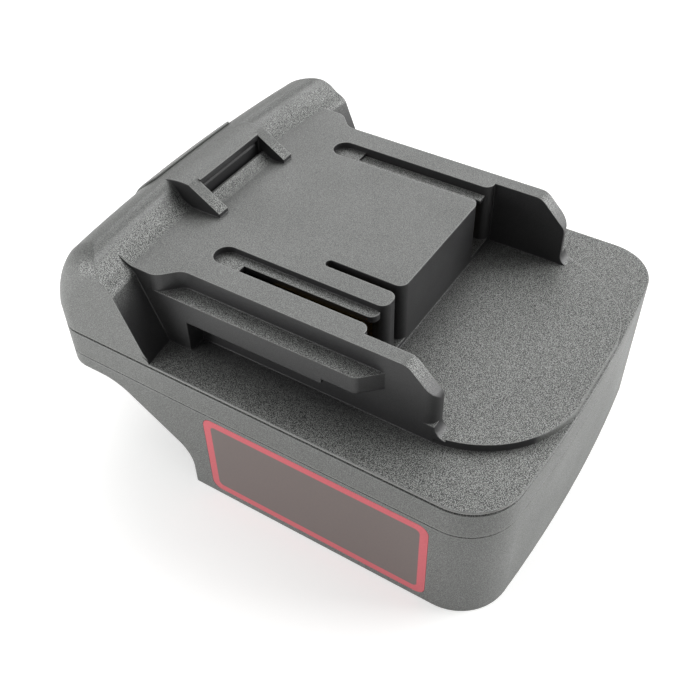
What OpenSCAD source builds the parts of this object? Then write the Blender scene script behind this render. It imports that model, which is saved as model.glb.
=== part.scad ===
// Slide-on battery adapter for cordless tools.
// +X is the leading end that enters the tool, +Z is up, Y is across the rails.
// The origin is the middle of the bottom rim, on the surface that the adapter stands on.

/* [Body] */
// Overall length, over the two bowed ends
body_l = 96.5; // [92:0.5:110]
// Overall width
body_w = 76; // [74:0.5:84]
// Plan radius of the bowed ends
end_bow_r = 300; // [250:10:500]
// Plan radius of the two leading corners
lead_corner_r = 10; // [6:0.5:12]
// Plan radius of the two rear corners
rear_corner_r = 6; // [4.5:0.5:9]
// Height of the lower shell
shell_h = 22.5; // [22:0.5:28]
// Height of the middle frame's visible band
band_h = 5.9; // [5.5:0.1:8]
// Height of the seam groove at the band's foot
seam_h = 0.3; // [0.2:0.05:0.5]
// Depth of that groove
seam_d = 0.4; // [0.2:0.05:0.8]
// Height of the shadow gap above the band
groove_h = 0.6; // [0.4:0.1:1]
// Thickness of the top cover's edge above the shadow gap
deck_lip = 0.5; // [0.4:0.1:1.2]
// Thickness of the top cover's deck
deck_t = 3; // [2.8:0.1:4]

/* [Platform] */
// Height of the platform above the deck
platform_h = 15.2; // [14:0.1:18]
// Width of the platform
platform_w = 54.8; // [53:0.2:58]
// Distance of the platform's front from the leading end
block_set_back = 33.5; // [31:0.5:38]
// Height of the raised pad that the platform stands on
pad_h = 1.6; // [1:0.1:2.4]
// Plan radius of the pad's two leading corners
pad_corner_r = 20; // [14:0.5:24]
// Gap between the pad and the leading edge
pad_edge = 0.4; // [0.3:0.1:1]
// Wall thickness of the platform
platform_wall = 2.6; // [2:0.1:3]

/* [Rails] */
// Width over the two rails
rail_w = 62; // [60:0.2:66]
// Height of the rails' top ledge above the deck
rail_top = 11.5; // [10.5:0.1:12.4]
// Thickness of the rails
rail_t = 4.7; // [3.8:0.1:5]
// Step in the rails' underside
rail_step = 1.1; // [0.6:0.1:1.6]
// Distance of that step from the leading end
rail_step_set_back = 38; // [36:0.5:44]
// Distance of the rails' end from the leading end
rail_end_set_back = 31.4; // [29:0.2:34]
// Distance of the flared shoulders from the leading end
flare_set_back = 72.3; // [70:0.1:74]
// Distance of the undercut's blind end from the leading end
undercut_set_back = 66.6; // [62:0.2:69]

/* [Ears] */
// Thickness of the two ears
ear_t = 2.9; // [2.4:0.1:3.4]
// Distance of the ears' ends from the leading end
ear_set_back = 18.4; // [15:0.2:22]
// Length of the ears' end slope
ear_slope_l = 5.4; // [3:0.2:7]
// Height of the ears' end slope
ear_slope_h = 5.4; // [3:0.2:7]

/* [Slots] */
// Width of the two wide slots
slot_w = 4.9; // [4.4:0.1:5.4]
// Distance of the wide slots' middle from the centre line
slot_y = 19.9; // [19.4:0.1:20.2]
// Length of the wide slots, from the platform's front
slot_l = 33.8; // [30:0.2:36]
// Depth of the wide slots' shelf
shelf_d = 1.3; // [0.8:0.1:1.6]
// Width of that shelf
shelf_w = 2.1; // [1.8:0.1:2.3]
// Length of the deep blade slits, from the platform's front
slit_l = 28; // [26:0.2:29]
// Height of the slits' floor above the deck
slit_floor = 2.5; // [2:0.1:4]
// Width of the signal slot
signal_slot_w = 1.8; // [1.6:0.1:2.4]
// Distance of the signal slot's middle from the centre line
signal_y = 12.35; // [11.8:0.05:12.9]
// Length of the signal slot, from the platform's front
signal_slot_l = 15.2; // [13:0.2:18]

/* [Hump] */
// Height of the hump above the deck
hump_h = 20.2; // [19:0.1:23]
// Radius of the hump's rounded back
hump_back_r = 25; // [23:0.5:28]
// Radius of the hump's rounded crest
crest_r = 14; // [12:0.5:16]
// Distance from the rear end to the hump's crest
hump_crest = 12.6; // [12.2:0.1:13.4]
// Distance from the rear end to the hump's foot on the deck
hump_foot = 23.1; // [22.5:0.1:26]
// Wall thickness of the hump
hump_wall = 2.6; // [2.2:0.1:3]
// Radius along the hump's edges at its two ends
hump_end_r = 6; // [4:0.5:8]

/* [Latch] */
// Width over the two guide ribs
rib_w = 23.6; // [22:0.2:25]
// Thickness of the guide ribs
rib_t = 2.6; // [2:0.1:3]
// Distance from the rear end to the tips of the ribs
rib_tip = 23.8; // [22.5:0.1:26]
// Distance from the rear end to the front edge of the latch roof
roof_front = 17.9; // [17.5:0.1:19]
// Thickness of the latch roof
roof_t = 1.2; // [1:0.1:1.6]
// Width of the release button
button_w = 25.8; // [23:0.2:28]
// Distance from the rear end to the button's front edge
button_front = 8.5; // [8:0.1:9]
// Height of the button's lower edge above the deck
button_low = 9; // [8.6:0.1:10]
// How far the button stands proud of the hump
button_proud = 0.4; // [0.2:0.1:0.8]
// Travel of the release button
latch_travel = 4; // [3:0.1:4.2]
// Clearance round the moving latch
latch_gap = 0.3; // [0.2:0.05:0.5]

/* [Springs] */
// Outer diameter of the latch springs
spring_od = 5.4; // [4.6:0.1:5.8]
// Wire diameter of the latch springs
spring_wire = 0.7; // [0.5:0.05:0.8]
// Number of curls in each spring
spring_curls = 9; // [7:1:11]
// Distance between the two springs
spring_span = 11; // [10:0.2:11.4]
// Distance from the rear end to the springs
spring_set = 14.3; // [14:0.1:14.6]

/* [Pack socket] */
// Wall thickness of the lower shell
shell_wall = 3; // [2.5:0.1:3.5]
// Height of the socket under its ceiling
socket_h = 19.7; // [18.5:0.1:20]
// Thickness of the socket's ceiling
ceiling_t = 2.3; // [2:0.1:2.5]
// Clear width between the two pack rails
pack_gap = 57; // [54:0.5:60]
// Height of the pack rails
pack_rail_h = 3.6; // [3:0.1:5]
// Distance of the terminal block's rear face from the leading end
terminal_set_back = 40; // [38:0.5:44]
// Distance of the pack's catch pocket behind the terminal block
catch_set = 28.5; // [27:0.5:30]
// Distance of the rear arch's foot from the leading end
arch_set_back = 64.3; // [60:0.2:68]
// Height of the arch's shoulder above the rim
arch_shoulder = 8.3; // [6:0.1:11]
// Distance from the rear end to the top of the arch's slope
arch_top_set = 15.5; // [13:0.1:18]

/* [Terminals] */
// Sheet thickness of the contact clips
clip_t = 0.6; // [0.4:0.05:0.8]
// Length of the contact clips
clip_l = 18; // [14:0.2:20]
// Sheet thickness of the pack blades
blade_t = 0.8; // [0.6:0.05:1.2]
// Height of the pack blades
blade_h = 6.4; // [5:0.1:7]
// Reach of the pack blades out of their block
blade_reach = 20; // [16:0.5:22]
// Distance of the power blades from the centre line
blade_y = 12.5; // [10:0.1:14]
// Length of the terminal block
block_l = 18; // [15:0.5:20]
// Height of the terminal block
block_h = 10.6; // [10:0.1:12]
// Diameter of the power wires
power_wire_d = 2.4; // [1.6:0.1:2.6]
// Diameter of the signal wire
signal_wire_d = 1.4; // [1:0.1:1.8]

/* [Screws and label] */
// Shank radius of the case screws
screw_r = 1.2; // [1:0.05:1.4]
// Head radius of the case screws
head_r = 2.7; // [2.3:0.1:2.9]
// Distance of the case screws from the centre line
screw_y = 21; // [20.5:0.1:22.5]
// Distance of the case screws from either end
screw_set = 10.4; // [10:0.1:11]
// Length of the side label
label_l = 46.9; // [40:0.1:48]
// Height of the side label
label_h = 20.2; // [16:0.1:20.4]
// Height of the label's lower edge above the rim
label_low = 1.4; // [1:0.1:1.8]
// Distance of the label's leading edge from the leading end
label_set_back = 13; // [12:0.1:15]
// Thickness of the label
label_t = 0.2; // [0.1:0.05:0.3]

/* [Hidden] */
$fn = 64;

// Facets of the long bowed curves, which turn through a few degrees only
bow_fn = 720;
// Overlap that joins pieces of one solid, and the reach of cuts past a face
lap = 1;
// Rounds are drawn this much larger, so that they cross their sides and don't just touch them
round_over = 1.002;
// Air between parts that only lie beside each other
air = 0.15;
case_black = [0.11, 0.11, 0.115];
moulding_black = [0.08, 0.08, 0.085];
holder_grey = [0.2, 0.2, 0.21];
contact_brass = [0.78, 0.62, 0.3];
steel = [0.6, 0.61, 0.63];
wire_red = [0.6, 0.05, 0.05];
wire_black = [0.05, 0.05, 0.05];
wire_white = [0.85, 0.85, 0.82];
label_red = [0.75, 0.16, 0.2];

x_lead = body_l / 2;
x_rear = -body_l / 2;
deck_z = shell_h + band_h + groove_h + deck_lip;
plug_inset = 1.15;
frame_wall = 2.4;
frame_rim = plug_inset - air;
ledge_z = deck_z - deck_t;
ceiling_z = socket_h + ceiling_t;

half_platform = platform_w / 2;
half_rail = rail_w / 2;
block_x = x_lead - block_set_back;
ear_x = x_lead - ear_set_back;
ear_in = half_platform - ear_t;
core_rear_x = x_rear + hump_crest;
rail_low = rail_top - rail_t;
flare_run = 3.4;
flare_r = 3.2;
rail_chamfer = half_rail - half_platform;
slot_out = slot_y + slot_w / 2;
slot_in = slot_y - slot_w / 2;
slit_in = slot_in + shelf_w;
slit_y = (slit_in + slot_out) / 2;
mouth_r = 1.7;
cavity_top = platform_h - platform_wall;
cavity_front_x = block_x - platform_wall;
cavity_y = ear_in;

hump_roof = 1.6;
back_lean = 0.3;
back_mid = hump_back_r - back_lean;
// The crest's circle crosses the back's circle by this much
crest_bite = 0.03;
crest_low = hump_h - crest_r;
crest_mid = [back_mid - sqrt(pow(hump_back_r - crest_r + crest_bite, 2) - pow(crest_low, 2)), crest_low];
crest_meet = hump_back_r * crest_low / (hump_back_r - crest_r);
crest = [hump_crest, crest_low + sqrt(pow(crest_r, 2) - pow(hump_crest - crest_mid.x, 2))];
// The latch roof stands this much above the hump's crest
roof_over = 0.05;
rib_in = rib_w / 2 - rib_t;
rib_kink = roof_front - 0.8;
rib_nose = 0.8;
shaft_rear = button_front - 0.5;
bolt_y = rib_in - latch_gap - 0.3;
bolt_front = roof_front - latch_gap;
bolt_low = platform_h - 2.7;
bolt_high = hump_h - roof_t - latch_gap;
spring_bore_r = spring_od / 2 + 0.25;
spring_bore_h = 4;
spring_top = bolt_low + spring_bore_h - 0.1;
opening_low = button_low - latch_travel - latch_gap;
button_wall = 1.6;
button_r = 1.8;
tab_w = 2;

holder_top = slit_floor - 0.1;
holder_t = 5;
holder_l = slit_l - 4;
holder_x = block_x - platform_wall - air - holder_l;
clip_x = holder_x + holder_l - clip_l - 1.2;
clip_h = cavity_top - holder_top - 0.8;
tail_w = 4;
tail_drop = power_wire_d + 2 * air;
holder_grip = 2.8;
holder_screw_x = [holder_x + 5, holder_x + holder_l - 5];

block_rear_x = x_lead - terminal_set_back;
blade_drop = 2.2;
blade_z = socket_h - blade_drop - blade_h;
blade_tail_x = block_rear_x + block_l - 6;
blade_tail_h = power_wire_d + 2 * air;
block_chamfer = 1.5;
block_grip = 3;
block_screw_y = 6.3;
block_w = 2 * blade_y + 11;

tower_r = head_r + 1.9;
tower_h = 2;
seat_z = socket_h + 2.7;
screw_x = [x_rear + screw_set, x_lead - screw_set];
head_h = 2;
shank_l = 7;

catch_rear = block_rear_x - catch_set;
catch_l = 9;
catch_w = 22;
catch_h = 4.6;
catch_wall = 1.6;

// Shared shapes

function unit(v) = v / norm(v);

// Length from a corner to where a round of radius r touches its sides
function touch_length(a, c, b, r) =
    let (u = unit(a - c), v = unit(b - c), half = acos(u * v) / 2)
    r / tan(half);

// Middle of the round of radius r in a corner
function round_centre(a, c, b, r) =
    let (u = unit(a - c), v = unit(b - c), half = acos(u * v) / 2)
    c + unit(u + v) * r / sin(half);

// The sliver between a sharp corner c, with sides towards a and b, and its round: it is cut
// from an outer corner, or added to an inner one.
module corner_piece(a, c, b, r) {
    t = touch_length(a, c, b, r);
    m = round_centre(a, c, b, r);
    difference() {
        polygon([c + unit(a - c) * t, c + unit(c - m) * r * 0.4, c + unit(b - c) * t]);
        translate(m) circle(r = r * round_over);
    }
}

// Plan outline of the case, drawn in by a distance all round
module outline(inset) {
    w = body_w / 2 - inset;
    bow = end_bow_r - inset;
    bow_x = x_lead - end_bow_r;
    lead_r = lead_corner_r - inset;
    rear_r = rear_corner_r - inset;
    lead_x = bow_x + sqrt(pow(bow - lead_r, 2) - pow(w - lead_r, 2));
    rear_x = -bow_x - sqrt(pow(bow - rear_r, 2) - pow(w - rear_r, 2));
    lead_y = bow * (w - lead_r) / (bow - lead_r);
    rear_y = bow * (w - rear_r) / (bow - rear_r);
    translate([rear_x, -w]) square([lead_x - rear_x, 2 * w]);
    for (side = [-1, 1]) {
        translate([lead_x, side * (w - lead_r)]) circle(r = lead_r);
        translate([rear_x, side * (w - rear_r)]) circle(r = rear_r);
    }
    intersection() {
        translate([bow_x, 0]) circle(r = bow, $fn = bow_fn);
        translate([0, -lead_y]) square([body_l, 2 * lead_y]);
    }
    intersection() {
        translate([-bow_x, 0]) circle(r = bow, $fn = bow_fn);
        translate([-body_l, -rear_y]) square([body_l, 2 * rear_y]);
    }
}

// A plate of the case outline between two heights
module slab(inset, low, high) {
    translate([0, 0, low]) linear_extrude(high - low) outline(inset);
}

// A side profile, drawn in x and z, carried across from one y to another
module across(from, to) {
    translate([0, to, 0]) rotate([90, 0, 0]) linear_extrude(to - from) children();
}

// A side profile, drawn as distance from the rear end and height, carried round the rear bow
module round_rear_bow() {
    turn = 18;
    translate([x_rear + end_bow_r, 0, 0])
        rotate([0, 0, 180 - turn / 2])
            rotate_extrude(angle = turn, $fn = bow_fn)
                translate([end_bow_r, 0]) mirror([1, 0]) children();
}

module box(low, high) {
    translate(low) cube(high - low);
}

// The same shape on both sides of the centre line
module both_sides() {
    children();
    mirror([0, 1, 0]) children();
}

// A rectangle with round corners, from its lowest corner
module round_rect(size, r) {
    translate([r, 0]) square([size.x - 2 * r, size.y]);
    translate([0, r]) square([size.x, size.y - 2 * r]);
    for (x = [r, size.x - r]) {
        for (y = [r, size.y - r]) {
            translate([x, y]) circle(r = r);
        }
    }
}

// Tube along a list of points, as one closed surface
function ring(p, side, up, r, sides) =
    [for (i = [0 : sides - 1]) p + r * (cos(360 * i / sides) * side + sin(360 * i / sides) * up)];

function tube_faces(rings, sides) = concat(
    [for (k = [0 : rings - 2]) for (i = [0 : sides - 1])
        let (j = (i + 1) % sides, a = k * sides)
        each [[a + i, a + sides + i, a + j], [a + j, a + sides + i, a + sides + j]]],
    [for (i = [1 : sides - 2]) [0, i, i + 1]],
    [for (i = [1 : sides - 2]) let (e = (rings - 1) * sides) [e, e + i + 1, e + i]]
);

// Smooth curve through a route's points
function route_point(route, t) =
    let (
        n = len(route),
        k = min(floor(t), n - 2),
        f = t - k,
        b = route[k],
        c = route[k + 1],
        a = k > 0 ? route[k - 1] : 2 * b - c,
        d = k + 2 < n ? route[k + 2] : 2 * c - b
    )
    0.5 * (2 * b + (c - a) * f + (2 * a - 5 * b + 4 * c - d) * f * f + (3 * b - a - 3 * c + d) * f * f * f);

// An insulated wire along a route that stays close to level
module wire(route, d) {
    sides = 8;
    steps = 4;
    count = (len(route) - 1) * steps;
    points = [for (i = [0 : count]) route_point(route, i / steps)];
    rings = [for (i = [0 : count])
        let (
            along = unit(points[min(i + 1, count)] - points[max(i - 1, 0)]),
            side = unit(cross([0, 0, 1], along))
        )
        each ring(points[i], side, cross(along, side), d / 2, sides)];
    polyhedron(rings, tube_faces(count + 1, sides));
}

// Top cover

// What lies inside the hump's rounded back, drawn out by a distance
module inside_back(grow) {
    translate([back_mid, 0]) circle(r = hump_back_r + grow, $fn = bow_fn);
}

// What lies below the hump's rounded crest, drawn out by a distance
module below_crest(grow) {
    low = -deck_t - 2 * lap;
    translate(crest_mid) circle(r = crest_r + grow, $fn = bow_fn);
    translate([-lap, low]) square([hump_foot + 2 * lap, crest_meet - low]);
}

module hump_profile() {
    shoulder = [hump_crest + 2.7, hump_h - 4.6];
    brow = [hump_crest + 5, hump_h - 6];
    foot = [hump_foot, 0];
    past = shoulder + 1.3 * (crest - shoulder);
    behind = crest + [crest_mid.y - crest.y, crest.x - crest_mid.x];
    difference() {
        union() {
            intersection() {
                polygon([
                    [-lap, -deck_lip], [hump_foot, -deck_lip], foot, brow, shoulder, past, [-lap, past.y]
                ]);
                inside_back(0);
                below_crest(0);
            }
            corner_piece(crest, shoulder, brow, 4);
        }
        corner_piece(shoulder, brow, foot, 2.5);
        corner_piece(behind, crest, shoulder, 2.8);
    }
}

// Concave sweep from the platform up to the hump's crest
module hump_sweep_profile() {
    root = [hump_crest + 2.9, platform_h - 0.1];
    corner_piece(crest, root, root + [10, 0], 5);
}

// A ring that rounds both ends of a hump with this radius
module end_ring(mid, arc_r) {
    half = body_w / 2;
    both_sides() translate([mid.x, 0, mid.y]) rotate([-90, 0, 0])
        rotate_extrude($fn = bow_fn / 2)
            corner_piece([arc_r, 0], [arc_r, half], [0, half], hump_end_r);
}

// What is cut off to round the hump's two ends: the back's ring, and the crest's ring on its side of
// the line through both axes
module hump_end_cuts() {
    half = body_w / 2;
    bow_in = end_bow_r - sqrt(pow(end_bow_r, 2) - pow(half - hump_end_r, 2));
    axis = [back_mid, 0];
    rear = axis + 3 * (crest_mid - axis);
    translate([x_rear + bow_in, 0, 0]) {
        end_ring(axis, hump_back_r);
        intersection() {
            end_ring(crest_mid, crest_r);
            across(-half - lap, half + lap) polygon([
                axis, rear, [rear.x, 2 * hump_h], [2 * back_mid, 2 * hump_h], [2 * back_mid, 0]
            ]);
        }
    }
}

module hump_hollow_profile() {
    top = hump_h - hump_roof;
    intersection() {
        polygon([
            [-lap, -deck_t - lap], [hump_foot - 3, -deck_t - lap], [hump_foot - 3, 0.5],
            [hump_crest + 3, hump_h - 7.6], [hump_crest + 0.3, hump_h - 5.8],
            [hump_crest - 1.8, top], [-lap, top]
        ]);
        inside_back(-hump_wall);
    }
}

module pad_plan() {
    front_x = x_lead - pad_edge;
    difference() {
        translate([core_rear_x, -half_platform]) square([front_x - core_rear_x, platform_w]);
        for (y = [-half_platform, half_platform]) {
            corner_piece([core_rear_x, y], [front_x, y], [front_x, 0], pad_corner_r);
        }
    }
}

// Shoulder where the platform's wall swings out to the rail, in plan
module flare_plan() {
    start = [x_lead - flare_set_back, half_rail];
    end = [start.x + flare_run, half_platform];
    inner = [end.x + 6, half_platform];
    rear = [core_rear_x, half_rail];
    difference() {
        union() {
            polygon([[core_rear_x, half_platform - lap], inner - [0, lap], inner, end, start, rear]);
            corner_piece(start, end, inner, flare_r);
        }
        corner_piece(rear, start, end, flare_r);
    }
}

// A rail's plan, with its sloped end
module rail_plan() {
    end_x = x_lead - rail_end_set_back;
    tip = [end_x + rail_chamfer, half_platform];
    bend = [end_x, half_rail];
    rear = [core_rear_x, half_rail];
    difference() {
        polygon([[core_rear_x, ear_in + lap], [tip.x, ear_in + lap], tip, bend, rear]);
        corner_piece(rear, bend, tip, 2);
    }
}

module rail() {
    step_x = x_lead - rail_step_set_back;
    translate([0, 0, rail_low + rail_step]) linear_extrude(rail_t - rail_step) rail_plan();
    translate([0, 0, rail_low]) linear_extrude(rail_t) intersection() {
        rail_plan();
        translate([x_rear, 0]) square([step_x - x_rear, body_w]);
    }
}

// An ear's side view: level top, sloped end, upright nose and a foot that spreads onto the pad
module ear_profile() {
    nose = [ear_x, platform_h - ear_slope_h];
    bend = [ear_x - ear_slope_l, platform_h];
    foot = [ear_x, pad_h - 0.1];
    rear = [block_x - lap, platform_h];
    difference() {
        union() {
            polygon([[rear.x, 0], [ear_x, 0], foot, nose, bend, rear]);
            corner_piece(nose, foot, foot + [9, 0], 2.2);
        }
        corner_piece(rear, bend, nose, 3);
        corner_piece(bend, nose, foot, 2);
    }
}

module ear() {
    difference() {
        across(ear_in, half_platform) ear_profile();
        // The outer corner of the ear's nose is round in plan
        translate([0, 0, pad_h + 2.2]) linear_extrude(platform_h)
            corner_piece([block_x, half_platform], [ear_x, half_platform], [ear_x, ear_in], 2.2);
    }
}

// Guide rib beside the latch window: level behind, then sloping to its tip
module guide_rib() {
    low = platform_h - lap;
    rear_x = core_rear_x - lap;
    across(rib_in, rib_w / 2) polygon([
        [rear_x, low], [x_rear + rib_tip, low], [x_rear + rib_tip, platform_h + rib_nose],
        [x_rear + rib_kink, hump_h], [x_rear + rib_kink, hump_h + lap], [rear_x, hump_h + lap]
    ]);
}

// The two guide ribs and the roof between them, under one crest
module latch_house() {
    low = platform_h - lap;
    rear_x = core_rear_x - lap;
    high = hump_h + lap;
    intersection() {
        union() {
            both_sides() guide_rib();
            box([rear_x, -rib_in - lap, low], [x_rear + rib_kink - 0.1, rib_in + lap, high]);
            box([rear_x, -rib_in, low], [x_rear + roof_front, rib_in, high]);
        }
        round_rear_bow() below_crest(roof_over);
    }
}

// Small ramp with a narrow rim at the foot of the latch window
module window_ramp() {
    rim = roof_front + 0.6;
    rim_w = 0.6;
    rim_h = 1.2;
    run = 3;
    sweep_r = (run * run + rim_h * rim_h) / (2 * rim_h) + 0.3;
    across(-rib_in - lap / 2, rib_in + lap / 2) translate([x_rear, 0]) difference() {
        translate([rim, platform_h - lap]) square([rim_w + run, lap + rim_h]);
        translate([rim + rim_w + run, platform_h - 0.05 + sweep_r]) circle(r = sweep_r);
    }
}

module cover_outside() {
    slab(0, -deck_lip, 0);
    slab(plug_inset, -deck_t, -deck_lip / 2);
    difference() {
        union() {
            intersection() {
                round_rear_bow() hump_profile();
                slab(0, -deck_lip, hump_h + lap);
            }
            intersection() {
                round_rear_bow() hump_sweep_profile();
                box([x_rear, -half_rail, 0], [0, half_rail, hump_h]);
            }
        }
        hump_end_cuts();
    }
    translate([0, 0, -lap]) linear_extrude(lap + pad_h) pad_plan();
    box([core_rear_x, -half_platform, -lap], [block_x, half_platform, platform_h]);
    both_sides() {
        rail();
        ear();
        translate([0, 0, rail_top - lap]) linear_extrude(platform_h - rail_top + lap) flare_plan();
        box([core_rear_x, ear_in, -lap], [x_lead - undercut_set_back, half_rail, rail_low + lap]);
    }
    latch_house();
    window_ramp();
}

module cover_hollow() {
    half = body_w / 2 - hump_end_r;
    intersection() {
        round_rear_bow() hump_hollow_profile();
        box([x_rear, -half, -deck_t - lap], [0, half, hump_h]);
    }
    box([x_rear + hump_crest + 2, -cavity_y, -deck_t - lap], [cavity_front_x, cavity_y, cavity_top]);
}

// Wide slot with its shelf, deep blade slit and open mouth
module wide_slot() {
    rear_x = block_x - slot_l;
    slit_x = block_x - slit_l;
    shelf_end = 1;
    shelf_r = 1.5;
    top = platform_h + lap;
    translate([0, 0, platform_h - shelf_d]) linear_extrude(shelf_d + lap) {
        translate([rear_x + slot_w / 2, slot_y]) circle(d = slot_w);
        translate([rear_x + slot_w / 2, slot_in]) square([slot_l + lap, slot_w]);
    }
    box([slit_x, slit_in, slit_floor], [block_x + lap, slot_out, top]);
    box([cavity_front_x - lap, slot_in, slit_floor], [block_x + lap, slot_out, cavity_top]);
    box([block_x - shelf_end, slot_in, slit_floor], [block_x + lap, slot_out, top]);
    translate([0, 0, cavity_top - lap]) linear_extrude(lap + platform_wall)
        corner_piece(
            [slit_x, slit_in], [block_x - shelf_end, slit_in], [block_x - shelf_end, slot_in], shelf_r
        );
}

module signal_slot() {
    rear_x = block_x - signal_slot_l;
    low = -signal_y - signal_slot_w / 2;
    translate([0, 0, slit_floor]) linear_extrude(platform_h) {
        translate([rear_x + signal_slot_w / 2, -signal_y]) circle(d = signal_slot_w);
        translate([rear_x + signal_slot_w / 2, low]) square([signal_slot_l + lap, signal_slot_w]);
    }
}

// Rounded uprights where the slots open at the platform's front
module mouth_rounds() {
    edges = [
        [slot_in, 0], [-slot_in, -signal_y], [-signal_y - signal_slot_w / 2, -slot_in],
        [-signal_y + signal_slot_w / 2, 0], [slot_out, half_platform], [-slot_out, -half_platform]
    ];
    translate([0, 0, slit_floor]) linear_extrude(platform_h) {
        for (edge = edges) {
            corner_piece([block_x - 9, edge[0]], [block_x, edge[0]], [block_x, edge[1]], mouth_r);
        }
    }
}

// Plan of the button's opening, or of the button itself when drawn in
module button_plan(inset) {
    half = button_w / 2 + latch_gap - inset;
    front = x_rear + button_front + latch_gap - inset;
    r = button_r + latch_gap - inset;
    difference() {
        translate([x_rear - lap, -half]) square([front - x_rear + lap, 2 * half]);
        for (side = [-1, 1]) {
            corner_piece([x_rear, side * half], [front, side * half], [front, 0], r);
        }
    }
}

module latch_openings() {
    half = rib_in - latch_gap;
    intersection() {
        box([x_rear + shaft_rear, -half, -deck_t - lap], [x_rear + roof_front + lap / 2, half, hump_h]);
        round_rear_bow() below_crest(-roof_t);
    }
    translate([0, 0, opening_low]) linear_extrude(hump_h) button_plan(0);
}

module screw_boss(x, y, top) {
    low = ceiling_z + tower_h - deck_z;
    translate([x, y, low]) cylinder(r = tower_r - 0.9, h = top - low);
}

module cover_bosses() {
    for (y = [-screw_y, screw_y]) {
        screw_boss(screw_x[0], y, hump_h - 4.4);
        screw_boss(screw_x[1], y, -lap);
    }
    for (x = holder_screw_x) {
        translate([x, 0, holder_top]) cylinder(r = 3.2, h = platform_h - lap - holder_top);
    }
}

module cover_pilots() {
    for (x = screw_x) {
        for (y = [-screw_y, screw_y]) {
            translate([x, y, seat_z - deck_z]) cylinder(r = screw_r + 0.05, h = shank_l + 0.5);
        }
    }
    for (x = holder_screw_x) {
        translate([x, 0, holder_top - lap]) cylinder(r = screw_r + 0.05, h = shank_l);
    }
}

module top_cover() {
    color(case_black) translate([0, 0, deck_z]) difference() {
        union() {
            difference() {
                cover_outside();
                cover_hollow();
                latch_openings();
                both_sides() wide_slot();
                signal_slot();
                mouth_rounds();
            }
            cover_bosses();
        }
        cover_pilots();
    }
}

// Middle frame: the ring between the cover and the lower shell

module middle_frame() {
    color(case_black) difference() {
        union() {
            slab(0, shell_h + seam_h, shell_h + band_h);
            slab(seam_d, shell_h, shell_h + seam_h + lap);
        }
        slab(frame_wall, shell_h - lap, ledge_z + lap);
        slab(frame_rim, ledge_z, deck_z);
    }
}

// Lower shell: the socket for the battery pack

module arch_profile() {
    foot_x = x_lead - arch_set_back;
    top = [x_rear + arch_top_set, socket_h];
    shoulder = [foot_x, arch_shoulder];
    foot = [foot_x, -lap];
    rear = [x_rear - lap, socket_h];
    difference() {
        polygon([rear, top, shoulder, foot, [x_rear - lap, -lap]]);
        corner_piece(rear, top, shoulder, 12);
        corner_piece(top, shoulder, foot, 7);
    }
}

module pack_rails() {
    both_sides() intersection() {
        box([x_rear, pack_gap / 2, 0], [x_lead, body_w / 2, pack_rail_h]);
        slab(lap, 0, pack_rail_h);
    }
}

module label_plan(inset) {
    translate([x_lead - label_set_back - label_l + inset, label_low + inset])
        round_rect([label_l - 2 * inset, label_h - 2 * inset], 2);
}

module catch_pocket(grow, low, high) {
    half = catch_w / 2 + grow;
    box([catch_rear - grow, -half, low], [catch_rear + catch_l + grow, half, high]);
}

module blade_slots() {
    for (y = [-blade_y, 0, blade_y]) {
        box(
            [blade_tail_x - air, y - blade_t / 2 - air, socket_h - lap],
            [blade_tail_x + tail_w + air, y + blade_t / 2 + air, ceiling_z + lap]
        );
    }
}

module lower_shell() {
    color(case_black) difference() {
        union() {
            difference() {
                slab(0, 0, shell_h);
                slab(shell_wall, -lap, socket_h);
                slab(shell_wall, ceiling_z, shell_h + lap);
            }
            difference() {
                slab(frame_wall + air, ceiling_z - lap / 2, shell_h + 1.5);
                slab(frame_wall + air + 1.2, ceiling_z - lap, shell_h + 2);
            }
            pack_rails();
            catch_pocket(catch_wall, socket_h + 0.5, socket_h + catch_h + catch_wall);
            for (x = screw_x) {
                for (y = [-screw_y, screw_y]) {
                    translate([x, y, ceiling_z - 0.5]) cylinder(r = tower_r, h = tower_h + 0.5);
                }
            }
            for (y = [-spring_span / 2, spring_span / 2]) {
                translate([x_rear + spring_set, y, ceiling_z - 0.5])
                    cylinder(r = spring_od / 2 - spring_wire - 0.2, h = 3.5);
            }
        }
        across(-body_w, body_w) arch_profile();
        catch_pocket(0, socket_h - lap, socket_h + catch_h);
        blade_slots();
        for (x = screw_x) {
            for (y = [-screw_y, screw_y]) {
                translate([x, y, 0]) cylinder(r = head_r + 0.3, h = seat_z);
                translate([x, y, 0]) cylinder(r = screw_r + 0.3, h = seat_z + shank_l);
            }
        }
        for (y = [-block_screw_y, block_screw_y]) {
            translate([block_rear_x + block_l / 2, y, 0]) cylinder(r = screw_r - 0.15, h = ceiling_z + lap);
        }
        across(-body_w / 2 - lap, -body_w / 2 + label_t) label_plan(-air / 2);
    }
}

// Release button: the thumb piece in the back of the hump

module button_skin_profile() {
    intersection() {
        translate([-lap, button_low]) square([button_front + 2 * lap, hump_h]);
        inside_back(button_proud);
        below_crest(button_proud);
    }
}

module grip_ridges() {
    ridge_r = 0.45;
    for (z = [button_low + 1.8 : 1.6 : button_low + 6.6]) {
        rise = back_mid - sqrt(pow(hump_back_r + button_proud, 2) - z * z);
        round_rear_bow() translate([rise, z]) circle(r = ridge_r, $fn = 24);
    }
}

// Skirt behind the hump's wall: it keeps the button in and closes the gap below it
module button_skirt() {
    low = opening_low - 0.8;
    high = button_low + 2.5;
    rear = hump_wall + 0.4;
    half = button_w / 2 + tab_w;
    intersection() {
        round_rear_bow() intersection() {
            translate([0, low]) square([hump_crest, high - low]);
            difference() {
                inside_back(-rear);
                inside_back(-rear - button_wall);
            }
        }
        box([x_rear, -half, low - lap], [0, half, high + lap]);
    }
}

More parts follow.
